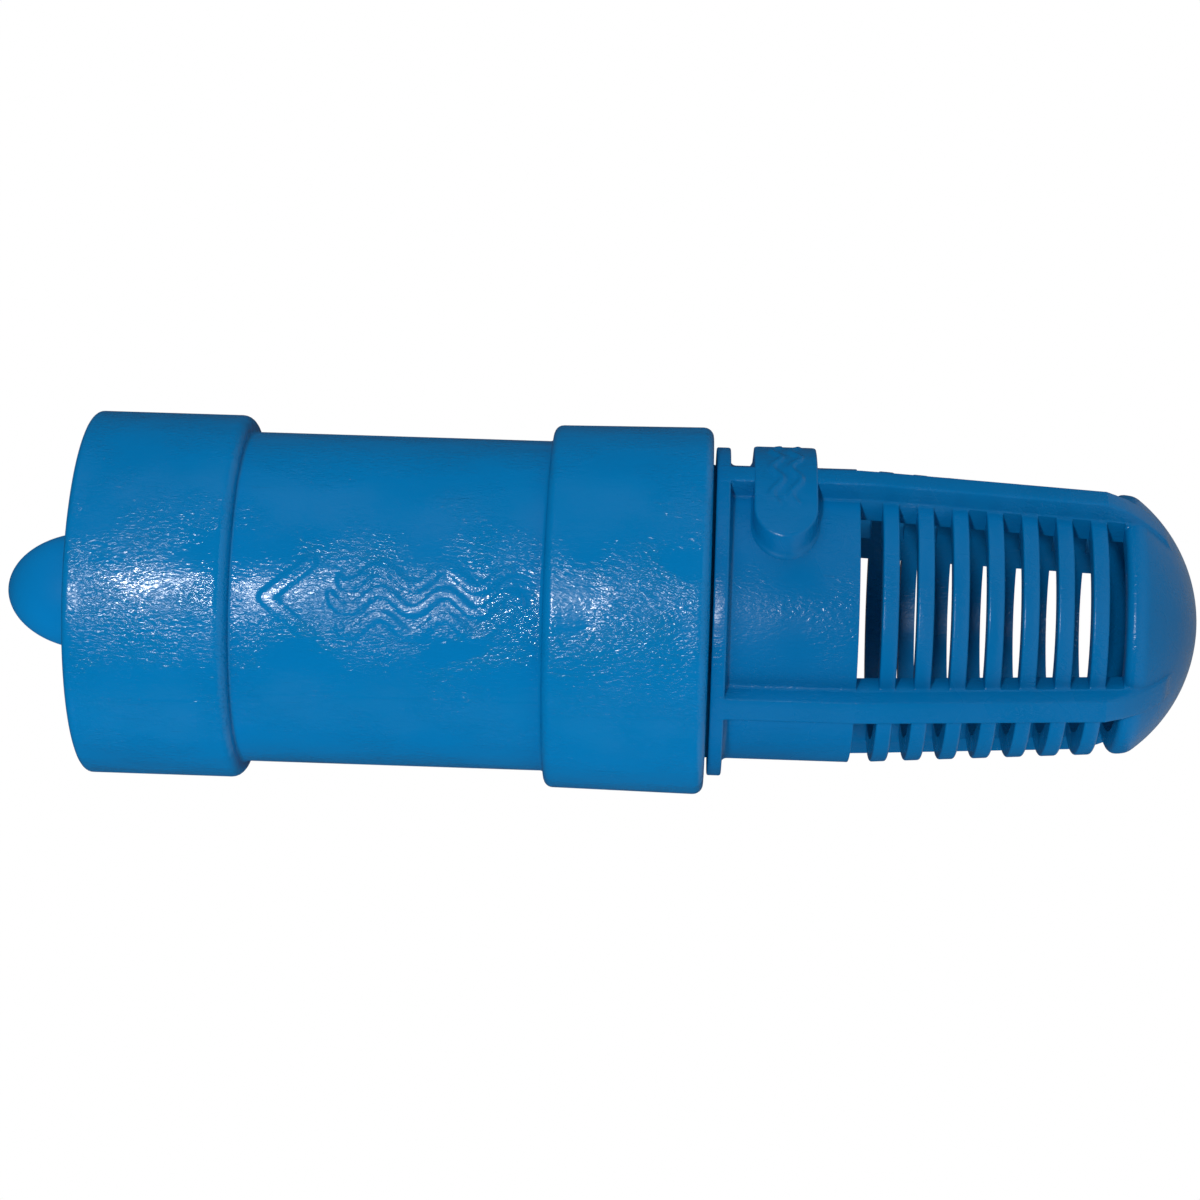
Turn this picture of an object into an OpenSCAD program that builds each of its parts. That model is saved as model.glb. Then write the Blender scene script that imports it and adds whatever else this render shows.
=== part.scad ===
// Foot valve with a screw-in strainer, for the lower end of a 1-1/4 inch suction pipe.
// The origin is the centre of the outlet's mouth. +Z points out of the outlet, up the
// pipe, and the strainer hangs towards -Z. Millimetres.

/* [Body] */
// Outside diameter of the outlet collar
outlet_collar_d = 53; // [51:0.5:56]
// Height of the outlet collar
outlet_collar_h = 23; // [22:0.1:28]
// Outside diameter of the barrel between the collars
barrel_d = 48.2; // [47:0.1:49]
// Height of the barrel between the collars
barrel_h = 43.9; // [38:0.05:50]
// Outside diameter of the inlet collar at its shoulder
inlet_collar_d = 52.9; // [51:0.1:56]
// How much wider the inlet collar is at its open end
inlet_collar_flare = 0.7; // [0:0.1:1]
// Height of the inlet collar
inlet_collar_h = 23.2; // [22:0.05:26]

/* [Outlet thread] */
// Pitch diameter of the 1-1/4 inch female pipe thread
outlet_thread_d = 40.22; // [39.8:0.01:40.6]
// Length of the female pipe thread
outlet_thread_h = 18; // [16:0.5:19]

/* [Poppet] */
// Diameter of the bullet-nosed stem
stem_d = 17.3; // [16:0.1:18]
// How far the nose stands out of the outlet when the valve is shut
nose_reach = 12.7; // [8:0.1:18]
// Travel from shut to fully open
lift = 8; // [5:0.5:10]
// Diameter of the head and its rubber seal
head_d = 33.2; // [32:0.1:34]

/* [Strainer] */
// Outside diameter of the flange below the body
flange_d = 47.9; // [46:0.1:50]
// Outside diameter of the plain barrel below the flange
strainer_d = 42.75; // [41:0.05:44]
// Wall thickness of the strainer
strainer_wall = 3.3; // [2.5:0.1:3.5]
// Number of slots in each quarter
slot_rows = 8; // [4:1:8]
// Height of one slot
slot_h = 2.6; // [2:0.1:3]
// How much taller the slot nearest the flange is
first_slot_extra = 0.6; // [0:0.1:0.6]
// Distance from one slot to the next
slot_pitch = 4.93; // [4.2:0.01:5]
// Width of a rib
rib_w = 3.8; // [3:0.1:4.5]

/* [Hidden] */
$fn = 96;

blue = [0.0, 0.42, 0.70];
deep_blue = [0.0, 0.36, 0.64];
black = [0.07, 0.07, 0.08];
natural = [0.86, 0.85, 0.80];
steel = [0.70, 0.71, 0.73];

quarters = [0, 90, 180, 270];
slide_gap = 0.08;        // radial clearance of the stem in its guide
screw_gap = 0.1;         // radial clearance of the seat and the spigot in the body
touch_gap = 0.02;        // between faces of different bodies that rest on each other

// body heights
barrel_top = -outlet_collar_h;
barrel_end = barrel_top - barrel_h;
body_end = barrel_end - inlet_collar_h;
pipe_stop = -outlet_thread_h;
guide_top = -30;         // shoulder that the guide is pushed up against
seat_shoulder = -73;     // shoulder that the seat is clamped against

// body radii
mouth_chamfer = 1.2;
waterway_r = 18.6;
guide_bore_r = 19.9;
chamber_r = 20.4;
register_r = 21.6;       // seat register, and minor radius of the strainer's thread

// guide
guide_h = 8;
hub_h = 10;
hub_r = 12.4;
hub_end = guide_top - hub_h;
guide_ring_w = 2.25;
arm_w = 3;
sleeve_r = 9.9;

// poppet, from the seat upwards
lip_z = -70.5;
seal_h = 3.5;
head_h = 3.5;
head_bottom = lip_z + touch_gap + seal_h;
head_top = head_bottom + head_h;
sleeve_end = head_top + lift + 0.1;
stem_wall = 2;
stem_r = stem_d / 2;
plug_h = 11;
boss_r = 5;
retainer_r = 12;
retainer_h = 2;
washer_h = 1;
screw_r = 2.45;
screw_head_r = 4.6;
screw_head_h = 2.7;
screw_reach = 15;
nose_half = 12.6;        // long half axis of the elliptical nose

// spring
wire_d = 1.3;
spring_r = 11;
spring_turns = 8;
dead_turns = 0.9;
wire_sides = 8;
wire_steps = 20;         // rings in one turn

// seat
seat_bore_r = 14;
seat_h = 4;
seat_end = seat_shoulder - touch_gap - seat_h;
o_ring_wire_r = 0.75;
o_ring_z = seat_shoulder - touch_gap - seat_h / 2;
groove_h = 2;
groove_r = register_r - 2 * o_ring_wire_r - 2 * touch_gap;

// strainer
flange_gap = 0.45;       // the spigot clamps the seat before the flange meets the body
flange_top = body_end - flange_gap;
flange_h = 2.05;
flange_end = flange_top - flange_h;
strainer_r = strainer_d / 2;
slots_top = -111.6;
slots_h = (slot_rows - 1) * slot_pitch + slot_h;
slots_end = slots_top - slots_h;
taper = 0.066;           // radius lost for each millimetre down the slotted length
taper_lead = 1;          // the wall starts to taper this far above the slots
tip_z = -160.9;
dome_sphere_r = 23.1;
dome_shoulder_r = 2.5;
flange_r = flange_d / 2;
rib_r = 24.1;
rib_end_angle = -52;     // where a rib runs out on the dome, about the dome's centre
rib_half_angle = 5.5;    // the slots stop this far from a rib's centre
pad_r = rib_r + 0.15;    // the pad covers the rib's crest
pad_half_w = 4.5;
pad_mid_z = -100.4;
pad_y = [-11.65, 15.5];  // the pad's two ends

// Points on an arc about c, from angle a0 to a1.
function arc(c, r, a0, a1, n = 6) =
    [for (i = [0:n]) let (a = a0 + (a1 - a0) * i / n) c + r * [cos(a), sin(a)]];

// The underside of a dome about a point on the axis, from angle a0 to a small flat at its
// lowest point.
function cap(c, r, a0, n = 8) =
    let (flat_angle = -88.5, points = arc(c, r, a0, flat_angle, n))
    concat(points, [[0, points[n].y]]);

// Outer radius of the strainer's wall at height z.
function wall_r(z) = strainer_r - taper * max(0, slots_top - z);

// The end of the strainer is a spherical cap with a rounded shoulder. The shoulder's arc
// meets the cap at dome_angle below the horizontal.
dome_r = wall_r(slots_end - 2);
dome_c = [0, tip_z + dome_sphere_r];
dome_angle = acos((dome_r - dome_shoulder_r) / (dome_sphere_r - dome_shoulder_r));
dome_base = dome_c.y - (dome_sphere_r - dome_shoulder_r) * sin(dome_angle);

module turned(points) {
    rotate_extrude() polygon(points);
}

module tube(r_out, r_in, z0, z1) {
    translate([0, 0, z0]) difference() {
        cylinder(r = r_out, h = z1 - z0);
        translate([0, 0, -1]) cylinder(r = r_in, h = z1 - z0 + 2);
    }
}

// Housing: two collars on a barrel, moulded in one piece.
module valve_body() {
    top_r = outlet_collar_d / 2;
    mid_r = barrel_d / 2;
    low_r = inlet_collar_d / 2;
    end_r = low_r + inlet_collar_flare / 2;
    mouth_r = outlet_thread_d / 2;
    edge = 0.9;
    shoulder = 1.8;
    crease = 0.6;
    low_shoulder = 1.3;
    low_edge = 1.5;
    outside = concat(
        arc([top_r - edge, -edge], edge, 90, 0, 4),
        arc([top_r - shoulder, barrel_top + shoulder], shoulder, 0, -90),
        [[mid_r, barrel_top]],
        arc([mid_r + crease, barrel_end + crease], crease, 180, 270, 4),
        arc([low_r - low_shoulder, barrel_end - low_shoulder], low_shoulder, 90, 0),
        arc([end_r - low_edge, body_end + low_edge], low_edge, 0, -90));
    inside = [
        [register_r + mouth_chamfer, body_end],
        [register_r, body_end + mouth_chamfer],
        [register_r, seat_shoulder],
        [chamber_r, seat_shoulder],
        [chamber_r, barrel_end + 6],
        [guide_bore_r, barrel_end + 7],
        [guide_bore_r, guide_top],
        [waterway_r, guide_top],
        [waterway_r, pipe_stop],
        [mouth_r, pipe_stop],
        [mouth_r, -mouth_chamfer],
        [mouth_r + mouth_chamfer, 0]];
    color(blue) turned(concat(outside, inside));
}

// Spider that drops in from the inlet side and carries the poppet's stem.
module stem_guide() {
    ring_r = guide_bore_r - 0.05;
    bore_r = stem_r + slide_gap;
    ring_in = ring_r - guide_ring_w;
    color(black) difference() {
        union() {
            tube(ring_r, ring_in, guide_top - guide_h, guide_top);
            translate([0, 0, hub_end]) cylinder(r = hub_r, h = hub_h);
            translate([0, 0, sleeve_end]) cylinder(r = sleeve_r, h = hub_end - sleeve_end + 1);
            for (a = quarters) rotate(a + 45)
                translate([hub_r - 1, -arm_w / 2, guide_top - guide_h])
                    cube([ring_in - hub_r + 2, arm_w, guide_h]);
        }
        translate([0, 0, sleeve_end - 1])
            cylinder(r = bore_r, h = guide_top - sleeve_end + 2);
    }
}

// Hollow stem with the bullet nose, half an ellipsoid with a small flat at its tip.
module poppet_stem() {
    nose_base = nose_reach - nose_half;
    inner_r = stem_r - stem_wall;
    flat_angle = 88.5;
    n = 12;
    function ellipse(r, h) =
        let (points = [for (i = [0:n]) let (a = flat_angle * i / n)
                 [r * cos(a), nose_base + h * sin(a)]])
        concat(points, [[0, points[n].y]]);
    hollow = ellipse(inner_r, nose_half - stem_wall);
    color(blue) turned(concat(
        [[stem_r, head_top]], ellipse(stem_r, nose_half),
        [for (i = [len(hollow) - 1:-1:0]) hollow[i]], [[inner_r, head_top]]));
}

// Head that backs the seal, with a plug that fills the foot of the stem.
module poppet_head() {
    plug_r = stem_r - stem_wall;
    edge = 0.8;
    color(blue) difference() {
        turned(concat(
            [[0, lip_z + touch_gap], [boss_r, lip_z + touch_gap], [boss_r, head_bottom]],
            [[head_d / 2, head_bottom]],
            arc([head_d / 2 - edge, head_top - edge], edge, 0, 90, 4),
            [[plug_r, head_top], [plug_r, head_top + plug_h - 1],
             [plug_r - 1, head_top + plug_h], [0, head_top + plug_h]]));
        translate([0, 0, lip_z - 1]) cylinder(r = screw_r + 0.05, h = screw_reach);
    }
}

// Rubber disc that shuts on the seat's lip.
module poppet_seal() {
    color(black) tube(head_d / 2, boss_r, lip_z + touch_gap, head_bottom);
}

// Plate that clamps the seal to the head.
module seal_retainer() {
    top = lip_z + touch_gap;
    edge = 0.6;
    color(blue) turned(concat(
        [[screw_r + 0.2, top], [screw_r + 0.2, top - retainer_h]],
        arc([retainer_r - edge, top - retainer_h + edge], edge, -90, 0, 4),
        [[retainer_r, top]]));
}

module retainer_washer() {
    top = lip_z + touch_gap - retainer_h;
    color(steel) tube(5.5, screw_r + 0.2, top - washer_h, top);
}

// Pan-head screw with a cross recess.
module retainer_screw() {
    head_z = lip_z + touch_gap - retainer_h - washer_h;
    recess_l = 5;
    recess_w = 1.1;
    recess_h = 1.5;
    edge = 1.4;
    color(steel) difference() {
        turned(concat(
            [[0, head_z - screw_head_h]],
            arc([screw_head_r - edge, head_z - screw_head_h + edge], edge, -90, 0),
            [[screw_head_r, head_z], [screw_r, head_z],
             [screw_r, head_z + screw_reach], [screw_r - 1, head_z + screw_reach + 1],
             [0, head_z + screw_reach + 1]]));
        for (a = [0, 90]) rotate(a)
            translate([-recess_l / 2, -recess_w / 2, head_z - screw_head_h - 1])
                cube([recess_l, recess_w, recess_h + 1]);
    }
}

// Compression spring between the guide's hub and the head, with a closed coil at each end.
module poppet_spring() {
    low = head_top + touch_gap + wire_d / 2;
    high = hub_end - touch_gap - wire_d / 2;
    rings = spring_turns * wire_steps;
    closed_rise = dead_turns * wire_d * 1.05;
    open_turns = spring_turns - 2 * dead_turns;
    open_rise = high - low - 2 * closed_rise;
    function rise(t) =
        t < dead_turns ? closed_rise * t / dead_turns
        : t > spring_turns - dead_turns
            ? high - low - closed_rise * (spring_turns - t) / dead_turns
        : closed_rise + open_rise * (t - dead_turns) / open_turns;
    points = [for (i = [0:rings], j = [0:wire_sides - 1])
        let (t = i / wire_steps,
             turn = 360 * t,
             side = 360 * j / wire_sides,
             r = spring_r + wire_d / 2 * cos(side))
        [r * cos(turn), r * sin(turn), low + rise(t) + wire_d / 2 * sin(side)]];
    walls = [for (i = [0:rings - 1], j = [0:wire_sides - 1])
        let (k = (j + 1) % wire_sides, a = i * wire_sides, b = a + wire_sides)
        [a + j, a + k, b + k, b + j]];
    ends = [[for (j = [wire_sides - 1:-1:0]) j],
            [for (j = [0:wire_sides - 1]) rings * wire_sides + j]];
    color(steel) polyhedron(points, concat(walls, ends));
}

// Seat with a raised lip, sealed to the body by its O-ring.
module valve_seat() {
    out_r = register_r - screw_gap;
    top = seat_end + seat_h;
    lip_r = seat_bore_r + 1.2;
    lip_edge = 0.6;
    bell = 1.5;
    color(natural) turned(concat(
        [[seat_bore_r, seat_end + bell], [seat_bore_r + bell, seat_end], [out_r, seat_end],
         [out_r, o_ring_z - groove_h / 2], [groove_r, o_ring_z - groove_h / 2],
         [groove_r, o_ring_z + groove_h / 2], [out_r, o_ring_z + groove_h / 2],
         [out_r, top], [lip_r + 1.6, top], [lip_r, lip_z - lip_edge]],
        arc([seat_bore_r + lip_edge, lip_z - lip_edge], lip_edge, 0, 180)));
}

module seat_o_ring() {
    color(black) rotate_extrude()
        translate([groove_r + touch_gap + o_ring_wire_r, o_ring_z])
            circle(r = o_ring_wire_r, $fn = 32);
}

// A rib from the flange to the dome. Its crest keeps its height above the tapering wall, then
// follows a sphere a little larger than the dome's and runs out on it.
module rib() {
    foot = 1.2;
    crest_end = slots_end + 2;
    ball_r = dome_sphere_r + 0.4;
    ball_angle = asin((dome_c.y - crest_end) / ball_r);
    fade = 6;
    root_r = dome_sphere_r - 1.5;
    rotate([90, 0, 0]) linear_extrude(height = rib_w, center = true) polygon(concat(
        [[strainer_r - foot, flange_end + 0.5], [rib_r, flange_end + 0.5], [rib_r, slots_top]],
        arc(dome_c, ball_r, -ball_angle, rib_end_angle + fade, 6),
        [dome_c + (dome_sphere_r - 0.3) * [cos(rib_end_angle), sin(rib_end_angle)]],
        arc(dome_c, root_r, rib_end_angle + 2, rib_end_angle + 2 * fade, 1),
        [[wall_r(slots_end) - foot, slots_end], [wall_r(slots_top) - foot, slots_top]]));
}

// A raised pad over the rib on +X, stadium-shaped when seen along X. Its face follows the
// barrel, its walls run straight in, and its root lies inside the wall.
module pad() {
    n = 8;
    outline = concat(arc([pad_y[1] - pad_half_w, 0], pad_half_w, -90, 90, n),
                     arc([pad_y[0] + pad_half_w, 0], pad_half_w, 90, 270, n));
    root = 1.2;
    intersection() {
        tube(pad_r, strainer_r - root, pad_mid_z - 2 * pad_half_w, pad_mid_z + 2 * pad_half_w);
        translate([0, 0, pad_mid_z])
            rotate([90, 0, 90]) linear_extrude(height = pad_r + 1) polygon(outline);
    }
}

// Strainer: threaded spigot, flange, slotted basket with four ribs, and domed end.
module strainer() {
    spigot_r = register_r - screw_gap;
    spigot_top = seat_end - touch_gap;
    bore_r = strainer_r - strainer_wall;
    lead = 0.8;
    root = 0.7;
    outside = concat(
        [[bore_r + 0.6, spigot_top], [spigot_r - lead, spigot_top],
         [spigot_r, spigot_top - lead], [spigot_r, flange_top],
         [flange_r, flange_top], [flange_r, flange_end + 0.2], [flange_r - 0.2, flange_end],
         [strainer_r + root, flange_end], [strainer_r, flange_end - root],
         [strainer_r, slots_top + taper_lead]],
        arc([dome_r - dome_shoulder_r, dome_base], dome_shoulder_r, 0, -dome_angle, 5),
        cap(dome_c, dome_sphere_r, -dome_angle));
    inner_sphere_r = dome_sphere_r - strainer_wall;
    inner_angle = acos((dome_r - strainer_wall) / inner_sphere_r);
    hollow = concat(
        [[0, spigot_top + 1], [bore_r + 0.6, spigot_top + 1], [bore_r + 0.6, spigot_top],
         [bore_r, spigot_top - 0.6], [bore_r, slots_top + taper_lead + 0.3]],
        cap(dome_c, inner_sphere_r, -inner_angle));
    color(deep_blue) union() {
        difference() {
            turned(concat([[0, spigot_top]], outside));
            turned(hollow);
            for (a = quarters) rotate(a + rib_half_angle)
                rotate_extrude(angle = 90 - 2 * rib_half_angle)
                    for (i = [0:slot_rows - 1])
                        translate([10, slots_top - slot_h - i * slot_pitch])
                            square([strainer_r, slot_h + (i == 0 ? first_slot_extra : 0)]);
        }
        for (a = quarters) rotate(a) rib();
        pad();
    }
}

valve_body();
stem_guide();
poppet_stem();
poppet_head();
poppet_seal();
seal_retainer();
retainer_washer();
retainer_screw();
poppet_spring();
valve_seat();
seat_o_ring();
strainer();
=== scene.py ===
"""Looks of a foot valve: a moulded body, a spring-closed poppet and a screw-in strainer."""
import math
from typing import NamedTuple

import bmesh
import bpy
import numpy as np
from mathutils import Matrix, Vector


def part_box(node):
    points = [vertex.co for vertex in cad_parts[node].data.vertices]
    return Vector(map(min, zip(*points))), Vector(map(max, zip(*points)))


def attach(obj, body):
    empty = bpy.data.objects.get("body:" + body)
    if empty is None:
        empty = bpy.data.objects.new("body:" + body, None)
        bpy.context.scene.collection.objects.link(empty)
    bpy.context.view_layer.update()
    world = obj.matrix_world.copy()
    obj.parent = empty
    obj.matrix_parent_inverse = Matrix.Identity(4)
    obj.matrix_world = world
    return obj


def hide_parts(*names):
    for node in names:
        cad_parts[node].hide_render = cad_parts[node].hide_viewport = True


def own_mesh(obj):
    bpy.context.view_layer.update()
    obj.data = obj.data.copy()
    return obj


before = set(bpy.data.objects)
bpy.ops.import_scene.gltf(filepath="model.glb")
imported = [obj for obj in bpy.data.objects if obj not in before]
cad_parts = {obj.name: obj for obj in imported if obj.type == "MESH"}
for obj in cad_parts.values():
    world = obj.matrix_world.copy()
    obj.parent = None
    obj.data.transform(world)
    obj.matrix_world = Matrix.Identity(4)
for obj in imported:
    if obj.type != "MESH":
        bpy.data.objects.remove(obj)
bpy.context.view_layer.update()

# Lengths are millimetres, unless a comment says metres. Angles round the axis start at +X.
MM = 0.001
TAU = math.tau
COLUMNS = 160                            # of points round a turned piece


def heights(node):
    """Lowest and highest height of a CAD node."""
    low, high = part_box(node)
    return low.z / MM, high.z / MM


def radius(node):
    """Largest radius of a CAD node that is round."""
    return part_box(node)[1].x / MM


# ---------------------------------------------------------------- places from the frame
BODY_END, MOUTH = heights("valve_body")
TIP, SPIGOT_TOP = heights("strainer")
GUIDE_END, GUIDE_TOP = heights("stem_guide")
HEAD_LOW, HEAD_PLUG_TOP = heights("poppet_head")
SEAL_LOW, SEAL_TOP = heights("poppet_seal")
STEM_FOOT, NOSE_TIP = heights("poppet_stem")
RETAINER_LOW, RETAINER_TOP = heights("seal_retainer")
WASHER_LOW, WASHER_TOP = heights("retainer_washer")
SCREW_LOW, SCREW_TOP = heights("retainer_screw")
SEAT_LOW, LIP_TOP = heights("valve_seat")
RING_LOW, RING_TOP = heights("seat_o_ring")
SPRING_LOW, SPRING_TOP = heights("poppet_spring")

STEM_R = radius("poppet_stem")
HEAD_R = radius("poppet_seal")
SEAT_R = radius("valve_seat")

# valve body
OUTLET_R = 26.5
SHOULDER_Z = -23.0
BARREL_R = 24.1
BARREL_END = -66.9
INLET_R = 26.45
INLET_END_R = 26.8
REGISTER_R = 21.6
SEAT_SHOULDER = -73.0
PIPE_STOP = -18.0
# The outlet thread's r is its pitch radius. The inlet thread's minor radius is REGISTER_R, so
# that the seat can pass.
OUTLET_THREAD = {"r": 20.11, "pitch": 2.209, "half_depth": 0.7}
INLET_THREAD = {"pitch": 3.0, "half_depth": 0.75}
THREAD_GAP = 0.15                        # from the body's thread in to the spigot's

# strainer
FLANGE_TOP = BODY_END - 0.45
FLANGE_END = FLANGE_TOP - 2.05
FLANGE_R = 23.95
WALL_R = 21.375
WALL = 3.3                               # thickness
SLOTS_TOP = -111.6
FIRST_SLOT_EXTRA = 0.6
SLOT_ROWS = 8
SLOT_H = 2.6
SLOT_PITCH = 4.93
TAPER = 0.066                            # of the wall's radius, for each millimetre down
SLOTS_END = SLOTS_TOP - (SLOT_ROWS - 1) * SLOT_PITCH - SLOT_H
BORE_R = WALL_R - WALL
SPIGOT_R = REGISTER_R - THREAD_GAP
THREAD_CREST_R = SPIGOT_R + 2 * INLET_THREAD["half_depth"]
THREAD_END = FLANGE_TOP + 0.5
LEAD_R = THREAD_CREST_R - 1.5            # of the spigot's end, where its chamfer starts
FLANGE_ROOT = 0.8                        # of the fillet under the flange
RIB_R = 24.1
RIB_HEIGHT = RIB_R - WALL_R
DOME_R = 23.1
DOME_Z = TIP + DOME_R
DOME_INNER_R = DOME_R - WALL
DOME_SHOULDER = 2.5
CREST_END = SLOTS_END + 2                # below this a crest follows a sphere
CREST_SPHERE_R = DOME_R + 0.4
RUNOUT = (46, 52)                        # where the crest sinks into the dome, in degrees
POLE_ANGLE = math.radians(88.5)          # of the dome's last ring before its pole

# The side of the object that the camera sees, in degrees round the axis
FRONT = -55.25


# ---------------------------------------------------------------- mesh helpers
def smoothstep(x):
    """0 below 0 and 1 above 1, with a smooth rise between."""
    x = np.clip(x, 0.0, 1.0)
    return x * x * (3 - 2 * x)


def thread_wave(z, angle, pitch):
    """Trapezium wave of a right-handed thread: 1 where the surface is furthest from the axis,
    and -1 where it is nearest."""
    steepness = 1.4                      # over 1, so that the crest and the root come out flat
    turn = z / pitch - angle / TAU
    wave = 4 * np.abs(turn - np.floor(turn) - 0.5) - 1
    return np.clip(steepness * wave, -1, 1)


def rounded(corners, step=15):
    """Points of a closed outline given as corners (r, z, fillet radius). A fillet has a point
    about every step degrees."""
    points = []
    count = len(corners)
    for i, (r, z, fillet) in enumerate(corners):
        here = Vector((r, z))
        if fillet == 0:
            points.append((r, z))
            continue
        before = Vector(corners[i - 1][:2])
        after = Vector(corners[(i + 1) % count][:2])
        back, forth = (before - here).normalized(), (after - here).normalized()
        half = back.angle(forth) / 2
        centre = here + (back + forth).normalized() * fillet / math.sin(half)
        start = here + back * fillet / math.tan(half) - centre
        end = here + forth * fillet / math.tan(half) - centre
        turn = math.atan2(start.x * end.y - start.y * end.x, start.dot(end))
        steps = max(2, round(abs(math.degrees(turn)) / step))
        for k in range(steps + 1):
            a = turn * k / steps
            spin = Matrix(((math.cos(a), -math.sin(a)), (math.sin(a), math.cos(a))))
            points.append(tuple(centre + spin @ start))
    return points


def held(points, near=0.2, longest=3.0, closed=True):
    """The outline with a point close to each end of its long stretches, so that smooth
    shading stays flat on them, and no stretch over the longest length."""
    out = []
    count = len(points)
    for i in range(count if closed else count - 1):
        a, b = np.array(points[i]), np.array(points[(i + 1) % count])
        length = float(np.linalg.norm(b - a))
        out.append(tuple(a))
        if length < 3 * near:
            continue
        pieces = max(1, math.ceil((length - 2 * near) / longest))
        for k in range(pieces + 1):
            t = (near + (length - 2 * near) * k / pieces) / length
            out.append(tuple(a + (b - a) * t))
    if not closed:
        out.append(points[-1])
    return out


def new_piece(name, vertices, faces, sharp=35):
    """A smooth-shaded object from vertices in millimetres. Edges over the sharp angle stay sharp."""
    mesh = bpy.data.meshes.new(name)
    mesh.from_pydata((np.asarray(vertices, float) * MM).tolist(), [], faces)
    work = bmesh.new()
    work.from_mesh(mesh)
    bmesh.ops.recalc_face_normals(work, faces=work.faces)
    work.to_mesh(mesh)
    work.free()
    piece = bpy.data.objects.new(name, mesh)
    bpy.context.scene.collection.objects.link(piece)
    shade(piece, sharp)
    return piece


def shade(piece, sharp=35):
    """Smooth shading, with edges over the sharp angle in degrees kept sharp."""
    mesh = piece.data
    mesh.polygons.foreach_set("use_smooth", [True] * len(mesh.polygons))
    mesh.set_sharp_from_angle(angle=math.radians(sharp))


def full_turn(count):
    """Evenly spaced angles all the way round."""
    return np.arange(count) * TAU / count


def around(r, z, angle):
    """The points at these radii, heights and angles."""
    x, y, z = np.broadcast_arrays(r * np.cos(angle), r * np.sin(angle), z)
    return np.stack([x, y, z], axis=-1).reshape(-1, 3)


def grid_faces(rows, columns, wrap_rows=False, skip=None):
    """Faces between neighbouring rows of a grid whose columns go all the way round. It leaves
    out the cells, by row and column, for which skip is true."""
    faces = []
    for i in range(rows if wrap_rows else rows - 1):
        below = (i + 1) % rows
        for j in range(columns):
            if skip is not None and skip(i, j):
                continue
            k = (j + 1) % columns
            faces.append((i * columns + j, i * columns + k, below * columns + k, below * columns + j))
    return faces


def pole_faces(rows, columns, rings):
    """Faces that close each of these rings to a pole of its own. The poles' points come
    straight after those of the grid, in the order of the rings."""
    faces = []
    for pole, ring in enumerate(rings, rows * columns):
        for j in range(columns):
            faces.append((pole, ring * columns + j, ring * columns + (j + 1) % columns))
    return faces


def lathe(name, outline, angles=None, shape=None, sharp=35):
    """A closed outline turned round the axis. shape(r, z, angle) may change the radii."""
    if angles is None:
        angles = full_turn(COLUMNS)
    outline = np.array(outline, float)
    r, z, angle = np.broadcast_arrays(outline[:, :1], outline[:, 1:], angles)
    if shape:
        r = shape(r, z, angle)
    faces = grid_faces(len(outline), len(angles), wrap_rows=True)
    return new_piece(name, around(r, z, angle), faces, sharp)


def solid_lathe(name, outline, columns=128, sharp=35):
    """An open outline that starts and ends on the axis, turned round it."""
    ring = np.array(outline[1:-1], float)
    points = around(ring[:, :1], ring[:, 1:], full_turn(columns))
    faces = grid_faces(len(ring), columns)
    first, last = len(points), len(points) + 1
    base = (len(ring) - 1) * columns
    for j in range(columns):
        k = (j + 1) % columns
        faces.append((first, k, j))
        faces.append((last, base + j, base + k))
    points = np.vstack([points, [[0, 0, outline[0][1]], [0, 0, outline[-1][1]]]])
    return new_piece(name, points, faces, sharp)


def block(name, low, high, edge):
    """A box from its low to its high corner, with bevelled edges."""
    low, high = np.array(low, float), np.array(high, float)
    corners = [np.where([i & 1, i & 2, i & 4], high, low) for i in range(8)]
    faces = [(0, 2, 3, 1), (4, 5, 7, 6), (0, 1, 5, 4), (2, 6, 7, 3), (0, 4, 6, 2), (1, 3, 7, 5)]
    piece = new_piece(name, corners, faces)
    bevel = piece.modifiers.new("edges", "BEVEL")
    bevel.width = edge * MM
    bevel.segments = 2
    bake_modifiers(piece)
    return piece


def bake_modifiers(piece):
    """Applies a piece's modifiers to its mesh."""
    graph = bpy.context.evaluated_depsgraph_get()
    mesh = bpy.data.meshes.new_from_object(piece.evaluated_get(graph))
    piece.modifiers.clear()
    old, piece.data = piece.data, mesh
    bpy.data.meshes.remove(old)


def combine(piece, others, operation, sharp=35):
    """Joins other pieces to a piece, or cuts them out of it, and deletes them."""
    for other in others:
        step = piece.modifiers.new("combine", "BOOLEAN")
        step.object = other
        step.operation = operation
        step.solver = "EXACT"
        bake_modifiers(piece)
        mesh = other.data
        bpy.data.objects.remove(other)
        bpy.data.meshes.remove(mesh)
    shade(piece, sharp)
    return piece


def turned_by(piece, degrees):
    """The piece, turned round the axis."""
    piece.data.transform(Matrix.Rotation(math.radians(degrees), 4, "Z"))
    return piece


# ---------------------------------------------------------------- valve body
def even_angles(step, fine=()):
    """Angles all round in degrees, closer together in each (middle, half width, step)."""
    marks = set()
    a = 0.0
    while a < 360:
        if not any(abs((a - m + 180) % 360 - 180) < half for m, half, _ in fine):
            marks.add(round(a % 360, 4))
        a += step
    for middle, half, small in fine:
        count = round(2 * half / small)
        for k in range(count + 1):
            marks.add(round((middle - half + 2 * half * k / count) % 360, 4))
    return np.radians(sorted(marks))


def stroke(distance, width, soft=0.7):
    """Height from 0 to 1 of a raised stroke at a distance from its middle line."""
    return smoothstep((width / 2 + soft / 2 - distance) / soft)


def to_segment(x, y, a, b):
    """Distance of (x, y) from the segment between a and b."""
    ax, ay, dx, dy = a[0], a[1], b[0] - a[0], b[1] - a[1]
    t = np.clip(((x - ax) * dx + (y - ay) * dy) / (dx * dx + dy * dy), 0, 1)
    return np.hypot(x - ax - t * dx, y - ay - t * dy)


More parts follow.
